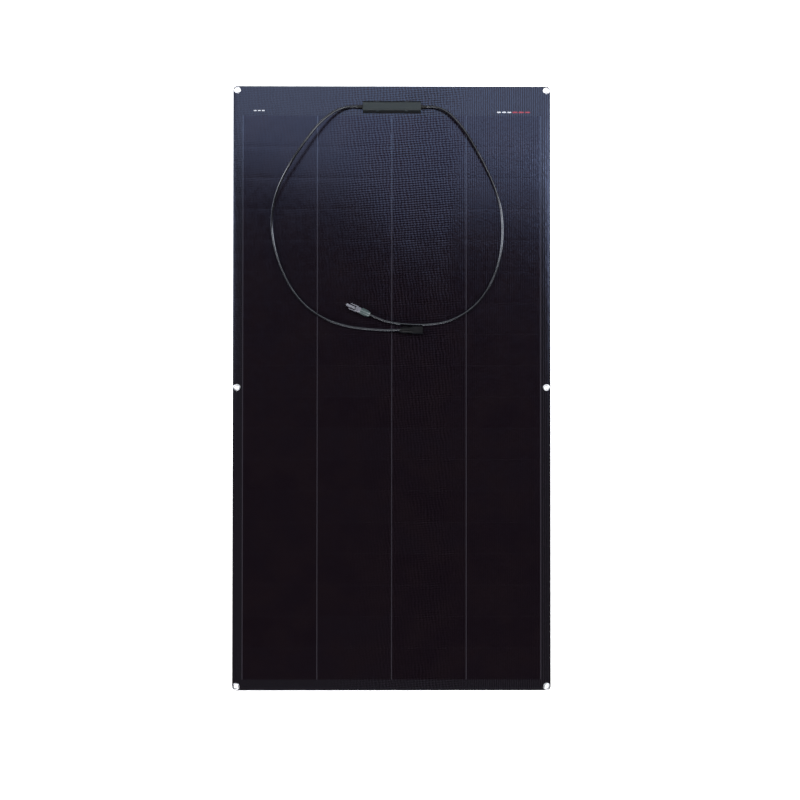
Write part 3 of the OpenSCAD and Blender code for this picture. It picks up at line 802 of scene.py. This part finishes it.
tray_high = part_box("box_tray")[1]
boots_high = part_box("gland_boots")[1]
bm = bmesh.new()
for side in (-1, 1):
    revolve(bm, boot_profile(boots_high.x, tray_high.x), Vector((0, BOX_Y_MM, GLAND_Z_MM)) * mm,
            Vector((side, 0, 0)))
new_piece("boots", bm, "black_rubber", "head", ["gland_boots"], sharp_deg=45)

# ---- printed marks ----


def add_dash(bm, x, y, width, height):
    """A plain ink bar with round ends, its face a hair above the film."""
    r = height / 2
    outline = [(x + width / 2 - r + px, y + py) for px, py in arc((0, 0), (r, r), -90, 90, 8)]
    outline += [(x - width / 2 + r + px, y + py) for px, py in arc((0, 0), (r, r), 90, 270, 8)]
    thick = 0.03 * mm
    add_slab(bm, [outline], level(face_z + thick), level(face_z - thick))


def add_marks(name, material, first_x_mm, pitch_mm, width_mm, y_mm, height_mm):
    """Three dashes in a row, the first centred at first_x_mm."""
    bm = bmesh.new()
    for k in range(3):
        add_dash(bm, (first_x_mm + k * pitch_mm) * mm, y_mm * mm, width_mm * mm, height_mm * mm)
    mark = new_piece(name, bm, "front_film", "head")
    mark.data.materials[0] = material


add_marks("left_mark", LIGHT_INK, -306, 9, 7, 620, 2.4)
add_marks("right_mark_light", LIGHT_INK, 240, 11.5, 9, 617, 3.0)
add_marks("right_mark_red", RED_INK, 276, 14, 12, 617, 3.0)

# ---- CAD pieces that stay ----


def dress(node, slot, bevel_mm):
    """Gives a CAD node its material, joins its seams and softens its edges."""
    piece = frame["nodes"][node]
    piece.data.materials.clear()
    piece.data.materials.append(MATERIALS[slot])
    weld = piece.modifiers.new("weld", "WELD")
    weld.merge_threshold = 0.002 * mm
    bevel = piece.modifiers.new("soft_edges", "BEVEL")
    bevel.width = bevel_mm * mm
    bevel.segments = 3
    bevel.limit_method = "ANGLE"
    bevel.angle_limit = math.radians(35)
    bevel.harden_normals = False
    piece.modifiers.new("even_shade", "WEIGHTED_NORMAL").keep_sharp = True


EDGES_MM = {
    "box_tray": 0.5, "box_lid": 0.45, "box_sealant": 0.1, "terminal_rails": 0.1,
    "bypass_diodes": 0.15, "conductor_clamps": 0.3, "output_ribbons": 0.03, "lead_conductors": 0.05,
    "lid_seal": 0.1, "bus_ribbons_head": 0.02, "bus_ribbons_end": 0.02, "socket_housing": 0.3,
    "socket_contact": 0.1, "socket_nose_seal": 0.05, "latch_finger_a": 0.3, "latch_finger_b": 0.3,
    "socket_cable_seal": 0.1, "socket_clamp_cage": 0.1, "socket_gland_nut": 0.25,
    "plug_housing": 0.35, "plug_pin": 0.15, "plug_cable_seal": 0.1, "plug_clamp_cage": 0.1,
    "plug_gland_nut": 0.25,
}
slots = {part["node"]: part["material_slot"] for part in frame["record"]["subparts"]}
for node, bevel_mm in EDGES_MM.items():
    dress(node, slots[node], bevel_mm)
for lead in (left_lead, right_lead):
    lead.data.materials.append(MATERIALS["lead_sheath"])

# ---- floor and light ----


def floor_material():
    """Pale seamless studio floor."""
    shade = Shade("pale_floor", Specular_IOR_Level=0.1, Roughness=0.9)
    cloud = shade.noise(shade.place(), 0.8, 2)
    shade.set(Base_Color=shade.mix(cloud, color(0.88, 0.88, 0.88), color(0.92, 0.92, 0.92)))
    shade.set(Emission_Color=color(1, 1, 1), Emission_Strength=0.8)
    return shade.material


def add_floor():
    reach, drop = 40, 0.4 * mm
    bm = bmesh.new()
    bmesh.ops.create_grid(bm, x_segments=8, y_segments=8, size=reach)
    mesh = bpy.data.meshes.new("floor")
    bm.to_mesh(mesh)
    bm.free()
    mesh.materials.append(floor_material())
    floor = bpy.data.objects.new("floor", mesh)
    floor.location.z = -drop
    bpy.context.scene.collection.objects.link(floor)


def add_softbox(name, place, target, size, watts, tone=(1, 1, 1), turn_deg=0):
    """A rectangular light at place, facing target and turned about that line."""
    data = bpy.data.lights.new(name, "AREA")
    data.shape = "RECTANGLE"
    data.size, data.size_y = size
    data.energy = watts
    data.color = tone
    light = bpy.data.objects.new(name, data)
    light.location = place
    facing = (Vector(target) - Vector(place)).to_track_quat("-Z", "Y")
    light.rotation_euler = (facing @ Quaternion((0, 0, 1), math.radians(turn_deg))).to_euler()
    bpy.context.scene.collection.objects.link(light)


def set_world():
    """A studio that is bright round the horizon, dark overhead and dim towards the sheet's foot."""
    world = bpy.data.worlds.new("studio")
    world.use_nodes = True
    bpy.context.scene.world = world
    tree = world.node_tree
    where = tree.nodes.new("ShaderNodeTexCoord")
    split = tree.nodes.new("ShaderNodeSeparateXYZ")
    tree.links.new(where.outputs["Generated"], split.inputs[0])

    def fade(value, start, end, low, high):
        made = tree.nodes.new("ShaderNodeMapRange")
        made.interpolation_type = "SMOOTHSTEP"
        for key, number in (("From Min", start), ("From Max", end), ("To Min", low), ("To Max", high)):
            made.inputs[key].default_value = number
        tree.links.new(value, made.inputs["Value"])
        return made.outputs[0]

    strength = tree.nodes.new("ShaderNodeMath")
    strength.operation = "MULTIPLY"
    tree.links.new(fade(split.outputs["Z"], 0.3, 0.8, 0.85, 0.02), strength.inputs[0])
    tree.links.new(fade(split.outputs["Y"], -0.7, 0.2, 0.2, 1.0), strength.inputs[1])
    tree.links.new(strength.outputs[0], tree.nodes["Background"].inputs["Strength"])


add_floor()
set_world()
add_softbox("far_softbox", (0.3, 1.92, 3.0), (0.3, 1.92, 0), (3.2, 1.9), 59, (0.95, 0.98, 1), turn_deg=-7)
add_softbox("left_fill", (-2.4, 0.85, 1.7), (0, 0.5, 0), (1.0, 3.0), 82, (0.95, 0.97, 1))
add_softbox("right_fill", (2.4, 0.85, 1.7), (0, 0.5, 0), (1.0, 3.0), 82, (0.95, 0.97, 1))
add_softbox("foot_fill", (0, -2.4, 1.4), (0, -0.6, 0), (2.6, 0.7), 58)
bpy.context.scene.view_settings.view_transform = "Standard"
bpy.context.scene.view_settings.look = "None"
